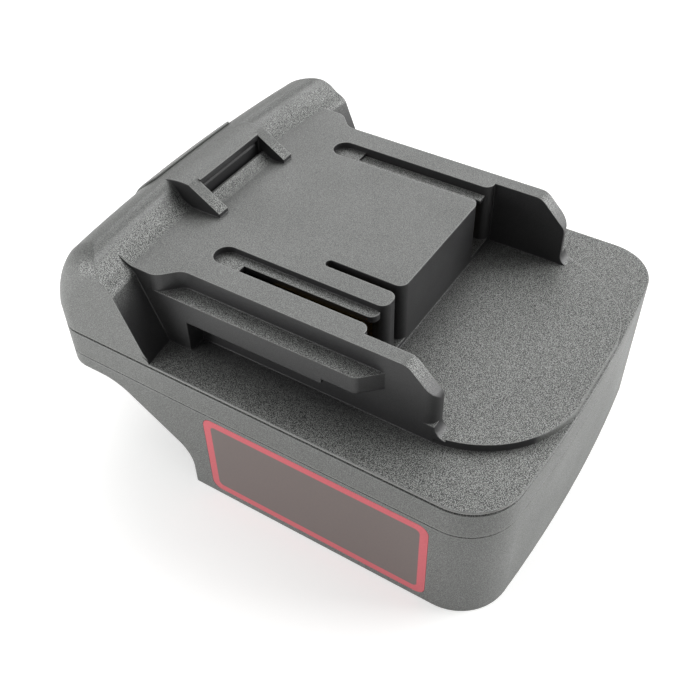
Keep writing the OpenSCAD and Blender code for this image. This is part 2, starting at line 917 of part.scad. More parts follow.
module release_button() {
    color(moulding_black) translate([0, 0, deck_z]) {
        intersection() {
            union() {
                round_rear_bow() button_skin_profile();
                intersection() {
                    grip_ridges();
                    box([x_rear - lap, -button_w / 2 + 3, 0], [0, button_w / 2 - 3, hump_h]);
                }
            }
            translate([0, 0, button_low]) linear_extrude(hump_h) button_plan(latch_gap);
        }
        button_skirt();
    }
}

// Latch bolt: slides with the button and closes the window between the ribs

module latch_bolt() {
    color(moulding_black) translate([0, 0, deck_z]) difference() {
        across(-bolt_y, bolt_y) translate([x_rear, 0]) intersection() {
            polygon([
                [button_front, bolt_low], [bolt_front - 1.5, bolt_low], [bolt_front, bolt_low + 1.5],
                [bolt_front, bolt_high - 0.8], [bolt_front - 0.8 - lap, bolt_high + lap],
                [button_front, bolt_high + lap]
            ]);
            below_crest(-roof_t - latch_gap);
        }
        for (y = [-spring_span / 2, spring_span / 2]) {
            translate([x_rear + spring_set, y, bolt_low - lap])
                cylinder(r = spring_bore_r, h = spring_bore_h + lap);
        }
    }
}

// Latch springs: coils between the socket's ceiling and the bolt

function coil_point(t) =
    let (mean_r = (spring_od - spring_wire) / 2, low = ceiling_z + spring_wire / 2 + 0.02)
    [mean_r * cos(360 * t), mean_r * sin(360 * t), low + t * coil_pitch];
coil_pitch = (deck_z + spring_top - ceiling_z - spring_wire) / spring_curls;

module latch_spring(y) {
    per_curl = 8;
    sides = 6;
    count = spring_curls * per_curl;
    rings = [for (i = [0 : count])
        let (p = coil_point(i / per_curl))
        each ring(p, unit([p.x, p.y, 0]), [0, 0, 1], spring_wire / 2, sides)];
    color(steel) translate([x_rear + spring_set, y, 0]) polyhedron(rings, tube_faces(count + 1, sides));
}

module near_latch_spring() { latch_spring(-spring_span / 2); }
module far_latch_spring() { latch_spring(spring_span / 2); }

// Contact holder: insulating plate that carries the three clips under the slots

module clip_tail_slot(y) {
    box(
        [clip_x - air, y - clip_t / 2 - air, holder_top - holder_t - lap],
        [clip_x + tail_w + air, y + clip_t / 2 + air, holder_top + lap]
    );
}

module contact_holder() {
    color(holder_grey) translate([0, 0, deck_z]) difference() {
        box(
            [holder_x, -cavity_y + air, holder_top - holder_t],
            [holder_x + holder_l, cavity_y - air, holder_top]
        );
        for (y = [-slit_y, -signal_y, slit_y]) {
            clip_tail_slot(y);
        }
        for (x = holder_screw_x) {
            translate([x, 0, holder_top - holder_t - lap]) {
                cylinder(r = screw_r + 0.3, h = holder_t + 2 * lap);
                cylinder(r = head_r + 0.2, h = lap + holder_t - holder_grip);
            }
        }
    }
}

// A sheet-metal clip: two leaves that close in on the blade and flare at the mouth
module leaf_profile(gap) {
    root = gap / 2 + clip_t;
    pinch = 0.25;
    polygon([
        [root, 0], [root, 0.35 * clip_h], [pinch + clip_t, 0.75 * clip_h], [root, clip_h],
        [root - clip_t, clip_h], [pinch, 0.75 * clip_h], [root - clip_t, 0.35 * clip_h], [root - clip_t, 0]
    ]);
}

module clip(y, gap) {
    root = gap / 2 + clip_t;
    color(contact_brass) translate([clip_x, y, deck_z + holder_top]) {
        rotate([90, 0, 90]) linear_extrude(clip_l) {
            leaf_profile(gap);
            mirror([1, 0]) leaf_profile(gap);
            translate([-root, 0]) square([2 * root, clip_t]);
        }
        box([0, -clip_t / 2, -holder_t - tail_drop], [tail_w, clip_t / 2, clip_t / 2]);
    }
}

module positive_clip() { clip(slit_y, 1.4); }
module negative_clip() { clip(-slit_y, 1.4); }
module signal_clip() { clip(-signal_y, 0.9); }

// Terminal block: holds the pack blades under the socket's ceiling

module terminal_block() {
    low = socket_h - block_h;
    color(holder_grey) difference() {
        across(-block_w / 2, block_w / 2) polygon([
            [block_rear_x, low + block_chamfer], [block_rear_x + block_chamfer, low],
            [block_rear_x + block_l, low], [block_rear_x + block_l, socket_h], [block_rear_x, socket_h]
        ]);
        for (y = [-blade_y, 0, blade_y]) {
            box(
                [block_rear_x - lap, y - blade_t / 2 - air, blade_z - air],
                [blade_tail_x + tail_w + air, y + blade_t / 2 + air, socket_h + lap]
            );
        }
        for (y = [-block_screw_y, block_screw_y]) {
            translate([block_rear_x + block_l / 2, y, low - lap]) {
                cylinder(r = screw_r + 0.3, h = block_h + 2 * lap);
                cylinder(r = head_r + 0.3, h = lap + block_h - block_grip);
            }
        }
    }
}

// A flat blade with a pointed nose and a tail that passes up through the ceiling
module blade(y) {
    nose = 2;
    top = blade_z + blade_h;
    tip_x = block_rear_x - blade_reach;
    color(contact_brass) across(y - blade_t / 2, y + blade_t / 2) polygon([
        [tip_x, blade_z + nose], [tip_x + nose, blade_z], [blade_tail_x + tail_w, blade_z],
        [blade_tail_x + tail_w, ceiling_z + blade_tail_h], [blade_tail_x, ceiling_z + blade_tail_h],
        [blade_tail_x, top], [tip_x + nose, top], [tip_x, top - nose]
    ]);
}

module positive_blade() { blade(blade_y); }
module negative_blade() { blade(-blade_y); }
module signal_blade() { blade(0); }

// Wires: from the clips' tails to the blades' tails

clip_tail_z = deck_z + holder_top - holder_t - tail_drop / 2;
blade_wire_z = ceiling_z + blade_tail_h / 2;
// Gap that the solder fills at either end of a wire
solder = 0.05;

// Route of a wire from a clip tail at clip_y to a blade tail at end_y
function wire_route(clip_y, end_y) =
    let (
        turn = end_y > clip_y ? 1 : -1,
        start = [clip_x + tail_w / 2, clip_y + turn * (clip_t / 2 + solder), clip_tail_z]
    )
    [
        start,
        start + [0, turn * 1.6, 0],
        start + [3, turn * 3.6, -0.3],
        [block_rear_x - 2, (clip_y + end_y) / 2, blade_wire_z + 0.2],
        [blade_tail_x - 6, end_y, blade_wire_z],
        [blade_tail_x - solder, end_y, blade_wire_z]
    ];

module positive_wire() { color(wire_red) wire(wire_route(slit_y, blade_y), power_wire_d); }
module negative_wire() { color(wire_black) wire(wire_route(-slit_y, -blade_y), power_wire_d); }
module signal_wire() { color(wire_white) wire(wire_route(-signal_y, 0), signal_wire_d); }

// Screws

// A pan-head screw that points up, from the underside of its head
module screw(length) {
    recess_w = 0.8;
    recess_l = 2.6;
    difference() {
        union() {
            translate([0, 0, -head_h]) cylinder(r = head_r, h = head_h);
            cylinder(r = screw_r, h = length);
        }
        for (turn = [0, 90]) {
            rotate([0, 0, turn]) box(
                [-recess_l / 2, -recess_w / 2, -head_h - lap], [recess_l / 2, recess_w / 2, -head_h + 1.1]
            );
        }
    }
}

module case_screws() {
    for (x = screw_x) {
        for (y = [-screw_y, screw_y]) {
            color(steel) translate([x, y, seat_z]) screw(shank_l);
        }
    }
}

module holder_screws() {
    for (x = holder_screw_x) {
        color(steel) translate([x, 0, deck_z + holder_top - holder_grip]) screw(shank_l);
    }
}

module block_screws() {
    for (y = [-block_screw_y, block_screw_y]) {
        color(steel) translate([block_rear_x + block_l / 2, y, socket_h - block_grip]) screw(block_grip);
    }
}

// Side label: a bare sticker in its shallow recess

module side_label() {
    color(label_red) across(-body_w / 2, -body_w / 2 + label_t) label_plan(0);
}

top_cover();
middle_frame();
lower_shell();
release_button();
latch_bolt();
near_latch_spring();
far_latch_spring();
contact_holder();
positive_clip();
negative_clip();
signal_clip();
terminal_block();
positive_blade();
negative_blade();
signal_blade();
positive_wire();
negative_wire();
signal_wire();
case_screws();
holder_screws();
block_screws();
side_label();
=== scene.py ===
import math

import bpy
import numpy as np
from mathutils import Matrix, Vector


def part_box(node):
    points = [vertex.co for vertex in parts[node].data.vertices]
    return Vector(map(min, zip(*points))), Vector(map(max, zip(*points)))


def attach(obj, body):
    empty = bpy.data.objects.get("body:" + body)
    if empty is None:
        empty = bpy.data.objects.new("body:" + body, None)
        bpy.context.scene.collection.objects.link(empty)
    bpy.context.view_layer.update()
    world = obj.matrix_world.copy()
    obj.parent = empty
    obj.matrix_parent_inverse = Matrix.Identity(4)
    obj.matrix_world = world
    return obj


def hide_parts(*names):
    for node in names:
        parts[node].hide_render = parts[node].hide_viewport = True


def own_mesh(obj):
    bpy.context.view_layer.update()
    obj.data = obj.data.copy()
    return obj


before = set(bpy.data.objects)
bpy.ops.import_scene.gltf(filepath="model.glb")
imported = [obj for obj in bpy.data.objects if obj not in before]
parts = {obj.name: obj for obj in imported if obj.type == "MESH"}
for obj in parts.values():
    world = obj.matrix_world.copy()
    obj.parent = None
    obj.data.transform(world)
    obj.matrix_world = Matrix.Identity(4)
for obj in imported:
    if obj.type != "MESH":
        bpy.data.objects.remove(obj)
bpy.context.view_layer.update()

# The photograph's view: a hand-held lens above the near leading corner, fitted to the case's
# straight edges. It looks down at 45 degrees and leans about a degree to one side.
view = bpy.data.cameras.new("view")
view.lens = 48.54
view.sensor_width = 36.0
view.clip_start = 0.01
camera = bpy.data.objects.new("view", view)
bpy.context.scene.collection.objects.link(camera)
camera.matrix_world = (
    Matrix.Translation((0.07243, -0.11908, 0.15095))
    @ Matrix.Rotation(math.radians(32.588), 4, "Z")
    @ Matrix.Rotation(math.radians(90 - 44.789), 4, "X")
    @ Matrix.Rotation(math.radians(-1.017), 4, "Z")
)
bpy.context.scene.camera = camera

# Lower shell: the socket for the battery pack, an injection moulding in black ABS. The mould's
# faces are spark eroded, so the plastic has a fine hard grain. Its outer edges carry a painted highlight.


def linear(hex_colour):
    """Turn an sRGB hex colour into linear red, green, blue and alpha."""
    srgb = np.array([int(hex_colour[i : i + 2], 16) for i in (1, 3, 5)]) / 255
    low, high = srgb / 12.92, ((srgb + 0.055) / 1.055) ** 2.4
    return (*np.where(srgb <= 0.04045, low, high), 1.0)


def shade(tree, kind, inputs, **settings):
    """Add one shader node. Settings are its properties; inputs are values, or sockets to link."""
    made = tree.nodes.new(kind)
    for name, value in settings.items():
        setattr(made, name, value)
    for name, value in inputs.items():
        if isinstance(value, bpy.types.NodeSocket):
            tree.links.new(value, made.inputs[name])
        else:
            made.inputs[name].default_value = value
    return made


def new_material(name):
    """An empty node material, and the tree that its nodes go into."""
    material = bpy.data.materials.new(name)
    material.use_nodes = True
    material.node_tree.nodes.clear()
    return material, material.node_tree


def dress(node, material):
    """Give a CAD node's faces one material."""
    mesh = parts[node].data
    mesh.materials.clear()
    mesh.materials.append(material)


def spark_eroded_abs(name, lit_colours, shaded_colours, grit_mm):
    """Moulded ABS. Its grain is noise at the grit's spacing, in its bumps and in its colour: strong on the
    low level faces and on the slopes in front of the hump's crest, where its brightest peaks are partly
    painted glints, and faint elsewhere, because upright walls have to slide out of the mould. The outer
    walls and the upward faces open to the sky take the lit colours, as painted light; the walls in the
    recesses between the ears and under the rails, and the faces under cover, take the shaded colours, as
    painted shade. Outer convex edges carry a painted highlight. The lit and the shaded colours each hold
    the colour in the grain's pits and the colour on its peaks."""
    material, tree = new_material(name)
    place = shade(tree, "ShaderNodeTexCoord", {}).outputs["Object"]
    at = shade(tree, "ShaderNodeSeparateXYZ", {"Vector": place}).outputs
    straight = shade(tree, "ShaderNodeNewGeometry", {}).outputs["Normal"]
    turned = shade(tree, "ShaderNodeSeparateXYZ", {"Vector": straight}).outputs
    facing = turned["Z"]
    sideways = shade(tree, "ShaderNodeMath", {0: turned["Y"]}, operation="ABSOLUTE").outputs[0]
    across = shade(tree, "ShaderNodeMath", {0: at["Y"]}, operation="ABSOLUTE").outputs[0]
    # Turned, because noise fades on a level face that lies on one of its grid planes
    oblique = shade(
        tree, "ShaderNodeMapping", {"Vector": place, "Rotation": (0.6, 0.5, 0.4)}
    ).outputs["Vector"]
    grit = shade(
        tree,
        "ShaderNodeTexNoise",
        {"Vector": oblique, "Scale": 1000 / grit_mm, "Detail": 1.0, "Roughness": 0.6},
    ).outputs["Fac"]
    flow_mm = 14
    flow = shade(
        tree,
        "ShaderNodeTexNoise",
        {"Vector": place, "Scale": 1000 / flow_mm, "Detail": 4.0, "Roughness": 0.55},
    ).outputs["Fac"]
    outer_edge = shade(
        tree, "ShaderNodeAmbientOcclusion", {"Distance": 0.0005}, inside=True, only_local=True, samples=8
    ).outputs["AO"]
    sky = shade(
        tree, "ShaderNodeAmbientOcclusion", {"Distance": 0.014}, only_local=True, samples=8
    ).outputs["AO"]
    # Each mask goes from 0 at its first limit to 1 at its second
    limits = {
        "level": (facing, 0.7, 0.95),
        "low": (at["Z"], 0.0442, 0.0438),
        "high": (at["Z"], 0.0385, 0.0448),
        "swept": (at["Z"], 0.0482, 0.0468),
        "front": (at["X"], -0.0362, -0.0352),
        "slope": (facing, 0.99, 0.93),
        "upward": (facing, 0.2, 0.5),
        "side": (across, 0.0302, 0.0365),
        "sideways": (sideways, 0.4, 0.8),
        "lead": (at["X"], 0.0440, 0.0450),
        "rear": (at["X"], -0.0385, -0.0395),
        # Open to the sky: upward faces under cover fall to the shaded colours, as painted shade
        "open": (sky, 0.2, 0.9),
        "peak": (grit, 0.42, 0.62),
        # Convex outer edges, which get a painted highlight
        "edge": (outer_edge, 0.9, 0.55),
    }
    mask = {
        part: shade(
            tree,
            "ShaderNodeMapRange",
            {"Value": value, "From Min": start, "From Max": end},
            interpolation_type="SMOOTHSTEP",
        ).outputs["Result"]
        for part, (value, start, end) in limits.items()
    }
    # Where two masks meet: a product is where both hold, a maximum is where either does
    meetings = {
        "low_level": ("MULTIPLY", "level", "low"),
        "sloped": ("MULTIPLY", "upward", "high"),
        "foot": ("MULTIPLY", "slope", "front"),
        "sweep": ("MULTIPLY", "foot", "swept"),
        "rough": ("MULTIPLY", "sweep", "sloped"),
        # Where the grain is strong: deeper bumps, and bright colour peaks that are partly painted glints
        "strong_grain_and_glints": ("MAXIMUM", "low_level", "rough"),
        "top": ("MAXIMUM", "level", "sloped"),
        # Upward faces open to the sky, given the lit colours as painted light
        "lit_top": ("MULTIPLY", "top", "open"),
        "flank": ("MULTIPLY", "side", "sideways"),
        "ends": ("MAXIMUM", "lead", "rear"),
        "outside": ("MAXIMUM", "flank", "ends"),
        # Outer walls and open upward faces take the lit colours, as painted light; the rest take the
        # shaded colours, as painted shade
        "skin": ("MAXIMUM", "outside", "lit_top"),
        # Outer convex edges on the lit faces, for a painted highlight
        "highlighted_edge": ("MULTIPLY", "edge", "skin"),
    }
    for part, (operation, first, second) in meetings.items():
        pair = {0: mask[first], 1: mask[second]}
        mask[part] = shade(tree, "ShaderNodeMath", pair, operation=operation).outputs[0]
    strong_grain_and_glints, skin = mask["strong_grain_and_glints"], mask["skin"]
    faint = shade(
        tree, "ShaderNodeMapRange", {"Value": mask["peak"], "To Min": 0.18, "To Max": 0.54}
    ).outputs["Result"]
    # Strong or faint grain in colour; its brightest peaks on the low level faces and the sweep are partly
    # painted glints
    peaks = shade(tree, "ShaderNodeMix", {0: strong_grain_and_glints, 2: faint, 3: mask["peak"]}).outputs[0]
    # The lit and the shaded colours: painted light on the outer and upward faces, painted shade in the
    # recesses
    lit_plastic = shade(
        tree, "ShaderNodeMix", {0: peaks, 6: linear(lit_colours[0]), 7: linear(lit_colours[1])}, data_type="RGBA"
    ).outputs[2]
    shaded_plastic = shade(
        tree, "ShaderNodeMix", {0: peaks, 6: linear(shaded_colours[0]), 7: linear(shaded_colours[1])}, data_type="RGBA"
    ).outputs[2]
    plastic = shade(tree, "ShaderNodeMix", {0: skin, 6: shaded_plastic, 7: lit_plastic}, data_type="RGBA").outputs[2]
    # A painted highlight along the outer convex edges, half way to a pale grey
    edge_highlight = shade(tree, "ShaderNodeMath", {0: mask["highlighted_edge"], 1: 0.5}, operation="MULTIPLY").outputs[0]
    with_edge_highlight = shade(
        tree, "ShaderNodeMix", {0: edge_highlight, 6: plastic, 7: linear("#8e8f8d")}, data_type="RGBA"
    ).outputs[2]
    gloss = shade(
        tree,
        "ShaderNodeMapRange",
        {"Value": flow, "From Min": 0.3, "From Max": 0.7, "To Min": 0.42, "To Max": 0.52},
    ).outputs["Result"]
    rounded = shade(tree, "ShaderNodeBevel", {"Radius": 0.0003}, samples=6).outputs["Normal"]
    depth = shade(
        tree, "ShaderNodeMapRange", {"Value": strong_grain_and_glints, "To Min": 0.2, "To Max": 0.9}
    ).outputs["Result"]
    relief = shade(
        tree, "ShaderNodeBump", {"Strength": depth, "Distance": 0.00006, "Height": grit, "Normal": rounded}
    ).outputs["Normal"]
    moulded = shade(
        tree,
        "ShaderNodeBsdfPrincipled",
        {"Base Color": with_edge_highlight, "Roughness": gloss, "Normal": relief, "IOR": 1.54, "Specular IOR Level": 0.6},
    )
    shade(tree, "ShaderNodeOutputMaterial", {"Surface": moulded.outputs["BSDF"]})
    return material


# The colours in the grain's pits and on its peaks: the lit pair, as painted light on the outer and upward
# faces, and then the shaded pair, as painted shade in the recesses. The photo doesn't resolve the real
# grit, so it is drawn as coarse as it needs to be to show in the render.
case_lit_colours, case_shaded_colours = ("#111312", "#9a9c99"), ("#0e0e0f", "#343435")
case_grit_mm = 0.15
shell_abs = spark_eroded_abs("black_abs_shell", case_lit_colours, case_lit_colours, case_grit_mm)
dress("lower_shell", shell_abs)

# Terminal block and blades: a glass-filled nylon block screwed under the socket's ceiling, which
# holds three flat brass blades. The blades are blanked from strip, so their faces show its rolling.


def filled_nylon(name, hollow, crest):
    """Glass-filled nylon: a dull skin with short pale streaks where fibres lie near the surface."""
    material, tree = new_material(name)
    place = shade(tree, "ShaderNodeTexCoord", {}).outputs["Object"]
    laid = shade(
        tree, "ShaderNodeMapping", {"Vector": place, "Scale": (0.25, 1.0, 1.0)}
    ).outputs["Vector"]
    fibre_mm = 0.35
    fibre = shade(
        tree, "ShaderNodeTexNoise", {"Vector": laid, "Scale": 1000 / fibre_mm, "Detail": 2.0}
    ).outputs["Fac"]
    skin = shade(
        tree, "ShaderNodeMix", {0: fibre, 6: linear(hollow), 7: linear(crest)}, data_type="RGBA"
    ).outputs[2]
    dull = shade(
        tree, "ShaderNodeMapRange", {"Value": fibre, "To Min": 0.5, "To Max": 0.7}
    ).outputs["Result"]
    rounded = shade(tree, "ShaderNodeBevel", {"Radius": 0.0003}, samples=4).outputs["Normal"]
    relief = shade(
        tree, "ShaderNodeBump", {"Strength": 0.4, "Distance": 0.00003, "Height": fibre, "Normal": rounded}
    ).outputs["Normal"]
    nylon = shade(
        tree,
        "ShaderNodeBsdfPrincipled",
        {"Base Color": skin, "Roughness": dull, "Normal": relief, "IOR": 1.53},
    )
    shade(tree, "ShaderNodeOutputMaterial", {"Surface": nylon.outputs["BSDF"]})
    return material


def rolled_metal(name, shadowed, bright, roughness, line_mm, along):
    """Rolled or drawn metal: fine lines along the working direction that change gloss and tint."""
    material, tree = new_material(name)
    place = shade(tree, "ShaderNodeTexCoord", {}).outputs["Object"]
    drawn = shade(tree, "ShaderNodeMapping", {"Vector": place, "Scale": along}).outputs["Vector"]
    lines = shade(
        tree, "ShaderNodeTexNoise", {"Vector": drawn, "Scale": 1000 / line_mm, "Detail": 4.0}
    ).outputs["Fac"]
    tint = shade(
        tree, "ShaderNodeMix", {0: lines, 6: linear(shadowed), 7: linear(bright)}, data_type="RGBA"
    ).outputs[2]
    gloss = shade(
        tree,
        "ShaderNodeMapRange",
        {"Value": lines, "To Min": roughness - 0.08, "To Max": roughness + 0.12},
    ).outputs["Result"]
    rounded = shade(tree, "ShaderNodeBevel", {"Radius": 0.0001}, samples=4).outputs["Normal"]
    relief = shade(
        tree, "ShaderNodeBump", {"Strength": 0.3, "Distance": 0.00001, "Height": lines, "Normal": rounded}
    ).outputs["Normal"]
    metal = shade(
        tree,
        "ShaderNodeBsdfPrincipled",
        {"Base Color": tint, "Metallic": 1.0, "Roughness": gloss, "Normal": relief},
    )
    shade(tree, "ShaderNodeOutputMaterial", {"Surface": metal.outputs["BSDF"]})
    return material


block_nylon = filled_nylon("grey_nylon_glass_filled", "#343436", "#4a4a4c")
contact_brass = rolled_metal("brass_rolled_strip", "#a9853f", "#d9b766", 0.28, 0.12, (0.06, 1.0, 1.0))
zinc_steel = rolled_metal("steel_zinc_plated", "#8d9096", "#c3c5c9", 0.34, 0.3, (1.0, 1.0, 1.0))
dress("terminal_block", block_nylon)
for blade in ("positive_blade", "negative_blade", "signal_blade"):
    dress(blade, contact_brass)
dress("block_screws", zinc_steel)

# Middle frame: the moulded ring that sits on the lower shell and carries the cover. It is the same
# black ABS, and shows as a band between the seam and the shadow gap.
dress("middle_frame", shell_abs)

# Contact holder and clips: a nylon plate screwed to the cover's bosses, with three sheet-brass clips
# pressed into it under the slots.
dress("contact_holder", block_nylon)
for clip in ("positive_clip", "negative_clip", "signal_clip"):
    dress(clip, contact_brass)
dress("holder_screws", zinc_steel)

# Wires: stranded copper in soft PVC, soldered to the clips' tails at one end and to the blades'
# tails at the other. They lie in the gap between the holder and the socket's ceiling.


def tube(name, line, radius, sides):
    """A round bar along a line: ring i is the line's point i plus radius times (cos a, sin a) in
    the plane across the line, with a point in the middle of either end to close it."""
    along = np.gradient(line, axis=0)
    along /= np.linalg.norm(along, axis=1, keepdims=True)
    side = np.cross([0.0, 0.0, 1.0], along)
    side /= np.linalg.norm(side, axis=1, keepdims=True)
    up = np.cross(along, side)
    angle = np.linspace(0, 2 * np.pi, sides, endpoint=False)
    rings = (
        line[:, None]
        + radius * np.cos(angle)[None, :, None] * side[:, None]
        + radius * np.sin(angle)[None, :, None] * up[:, None]
    )
    count = len(line)
    a = np.arange((count - 1) * sides).reshape(count - 1, sides)
    b = np.roll(a, -1, axis=1)
    walls = np.stack([a, b, b + sides, a + sides], axis=-1).reshape(-1, 4)
    first = np.arange(sides)
    start = np.stack([np.full(sides, count * sides), np.roll(first, -1), first], axis=-1)
    last = first + (count - 1) * sides
    end = np.stack([np.full(sides, count * sides + 1), last, np.roll(last, -1)], axis=-1)
    points = np.concatenate([rings.reshape(-1, 3), line[:1], line[-1:]])
    mesh = bpy.data.meshes.new(name)
    mesh.from_pydata(points.tolist(), [], walls.tolist() + start.tolist() + end.tolist())
    mesh.shade_smooth()
    piece = bpy.data.objects.new(name, mesh)
    bpy.context.scene.collection.objects.link(piece)
    return piece


def soft_curve(route, steps):
    """A smooth curve through a route's points: the cubic whose slope at each point is half the step
    from the point before it to the point after it."""
    route = np.array(route, float)
    ends = np.concatenate([[2 * route[0] - route[1]], route, [2 * route[-1] - route[-2]]])
    t = np.linspace(0, len(route) - 1, steps)
    k = np.minimum(t.astype(int), len(route) - 2)
    f = (t - k)[:, None]
    a, b, c, d = ends[k], ends[k + 1], ends[k + 2], ends[k + 3]
    bend, twist = 2 * a - 5 * b + 4 * c - d, 3 * b - a - 3 * c + d
    return 0.5 * (2 * b + (c - a) * f + bend * f**2 + twist * f**3)


def pvc(name, dark, light):
    """Soft PVC: extruded, so it is smooth with faint lengthways waves and a satin gloss."""
    material, tree = new_material(name)
    place = shade(tree, "ShaderNodeTexCoord", {}).outputs["Object"]
    wave_mm = 1.2
    waves = shade(
        tree, "ShaderNodeTexNoise", {"Vector": place, "Scale": 1000 / wave_mm, "Detail": 3.0}
    ).outputs["Fac"]
    skin = shade(
        tree, "ShaderNodeMix", {0: waves, 6: linear(dark), 7: linear(light)}, data_type="RGBA"
    ).outputs[2]
    relief = shade(
        tree, "ShaderNodeBump", {"Strength": 0.2, "Distance": 0.00005, "Height": waves}
    ).outputs["Normal"]
    rubber = shade(
        tree,
        "ShaderNodeBsdfPrincipled",
        {"Base Color": skin, "Roughness": 0.42, "Normal": relief, "IOR": 1.53},
    )
    shade(tree, "ShaderNodeOutputMaterial", {"Surface": rubber.outputs["BSDF"]})
    return material


tail_x, tail_z, blade_z = -0.0052, 0.02555, 0.02335
solder_out, bend_x, blade_x = 0.00035, 0.00625, 0.0202
red_pvc = pvc("red_pvc", "#8f1a1d", "#b52a2c")
black_pvc = pvc("black_pvc", "#1d1d1f", "#2c2c2e")
white_pvc = pvc("white_pvc", "#d2d0c6", "#e6e4dc")
# Node, y of its clip, y of its blade, radius, insulation and its finish's name
wires = (
    ("positive_wire", 0.02095, 0.0125, 0.0012, red_pvc, "red_insulation"),
    ("negative_wire", -0.02095, -0.0125, 0.0012, black_pvc, "black_insulation"),
    ("signal_wire", -0.01235, 0.0, 0.0007, white_pvc, "white_insulation"),
)
for node, clip_y, end_y, radius, insulation, finish in wires:
    turn = 1 if end_y > clip_y else -1
    root = np.array([tail_x, clip_y + turn * solder_out, tail_z])
    route = [
        root,
        root + [0, turn * 0.0016, 0],
        root + [0.003, turn * 0.0036, -0.0003],
        [bend_x, (clip_y + end_y) / 2, blade_z + 0.0002],
        [0.01425, end_y, blade_z],
        [blade_x, end_y, blade_z],
    ]
    wire = tube(node + "_lead", soft_curve(route, 80), radius, 20)
    wire.data.materials.append(insulation)
    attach(wire, "housing")
    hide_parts(node)

# Latch springs: two coils of drawn spring steel on the ceiling's pegs, which push the bolt and the
# button back up. Their last turn lies flat at either end.
spring_wire_r, spring_turns, travel = 0.00035, 9, 0.004
spring_steel = rolled_metal("spring_steel_drawn", "#70737a", "#b4b6bb", 0.3, 0.2, (1.0, 1.0, 0.2))
for node in ("near_latch_spring", "far_latch_spring"):
    low, high = (np.array(corner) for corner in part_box(node))
    middle = (low + high) / 2
    coil_r = (high[1] - low[1]) / 2 - spring_wire_r
    t = np.linspace(0, 1, 40 * spring_turns + 1)
    flat = 1.0 / spring_turns
    rise = np.clip((t - flat * 0.6) / (1 - 1.2 * flat), 0, 1)
    rise = 0.06 * t + 0.94 * rise
    bottom, top = low[2] + spring_wire_r, high[2] - spring_wire_r
    turned = 2 * np.pi * spring_turns * t
    line = np.stack(
        [
            middle[0] + coil_r * np.cos(turned),
            middle[1] + coil_r * np.sin(turned),
            bottom + (top - bottom) * rise,
        ],
        axis=-1,
    )
    spring = tube(node + "_coil", line, spring_wire_r, 12)
    spring.data.materials.append(spring_steel)
    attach(spring, "housing")
    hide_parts(node)
    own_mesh(spring)

# Latch bolt and release button: two mouldings that slide down together when the button is pressed.
# The button is the case's own black ABS. The bolt is a dull black nylon, which stands the rubbing of
# the tool's catch.
dress("release_button", spark_eroded_abs("black_abs_button", case_lit_colours, case_shaded_colours, case_grit_mm))
dress("latch_bolt", filled_nylon("black_nylon_bolt", "#141415", "#202021"))

# Top cover: deck, pad, railed platform, ears and hump in one moulding, from the same black ABS and
# the same mould finish as the lower shell.
cover_abs = spark_eroded_abs("black_abs_cover", case_lit_colours, case_shaded_colours, case_grit_mm)
dress("top_cover", cover_abs)

# Far slot's ledge: a step of the cover's own moulding along the slot's outer wall, in the same black
# ABS. It lies a little deeper than the inner shelf and leaves a narrow slit between the two.


def bar(name, profile, start, end):
    """A straight bar along x: the profile's points in y and z at the start and again at the end, with
    a wall between each two neighbours and a flat face over either end."""
    count = len(profile)
    rings = [np.column_stack([np.full(count, x), profile]) for x in (start, end)]
    a = np.arange(count)
    b = np.roll(a, -1)
    walls = np.stack([a, b, b + count, a + count], axis=-1)
    mesh = bpy.data.meshes.new(name)
    faces = walls.tolist() + [a[::-1].tolist(), (a + count).tolist()]
    mesh.from_pydata(np.concatenate(rings).tolist(), [], faces)
    piece = bpy.data.objects.new(name, mesh)
    bpy.context.scene.collection.objects.link(piece)
    return piece


ledge_in, ledge_out, ledge_low, ledge_top, ledge_r = 0.0203, 0.0224, 0.0421, 0.0428, 0.0003
ledge_rear, ledge_front = -0.0134, 0.01375
arc = np.linspace(0, np.pi / 2, 7)
rounding = np.column_stack(
    [ledge_in + ledge_r - ledge_r * np.sin(arc), ledge_top - ledge_r + ledge_r * np.cos(arc)]
)
straight_sides = [[ledge_in, ledge_low], [ledge_out, ledge_low], [ledge_out, ledge_top]]
ledge_profile = np.concatenate([straight_sides, rounding])
ledge = bar("far_slot_ledge", ledge_profile, ledge_rear, ledge_front)
ledge.data.materials.append(cover_abs)
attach(ledge, "housing")

# Case screws: four zinc-plated thread-forming steel screws, driven up from inside the socket into
# the cover's bosses. They hold the shell, the frame and the cover together.
dress("case_screws", zinc_steel)

# Side label: a satin polyester sticker in its shallow recess, printed brown with a red border. The
# print's grain shows as a slight change of tint and gloss. Its middle is left bare.
label_low, label_high = (np.array(corner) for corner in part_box("side_label"))
label_mid = (label_low + label_high) / 2
label_half = (label_high - label_low) / 2
corner_r, border = 0.002, 0.0016
label_film, tree = new_material("polyester_film_printed")
place = shade(tree, "ShaderNodeTexCoord", {}).outputs["Object"]
from_mid = shade(
    tree, "ShaderNodeVectorMath", {0: place, 1: tuple(label_mid)}, operation="SUBTRACT"
).outputs["Vector"]
folded = shade(tree, "ShaderNodeVectorMath", {0: from_mid}, operation="ABSOLUTE").outputs["Vector"]
inside = shade(
    tree,
    "ShaderNodeVectorMath",
    {0: folded, 1: (label_half[0] - border - corner_r / 2, 1.0, label_half[2] - border - corner_r / 2)},
    operation="SUBTRACT",
).outputs["Vector"]
past = shade(
    tree, "ShaderNodeVectorMath", {0: inside, 1: (0.0, 0.0, 0.0)}, operation="MAXIMUM"
).outputs["Vector"]
reach = shade(tree, "ShaderNodeVectorMath", {0: past}, operation="LENGTH").outputs["Value"]
ink_edge = 0.00008
bordered = shade(
    tree,
    "ShaderNodeMapRange",
    {"Value": reach, "From Min": corner_r / 2 - ink_edge, "From Max": corner_r / 2 + ink_edge},
).outputs["Result"]
print_mm = 0.5
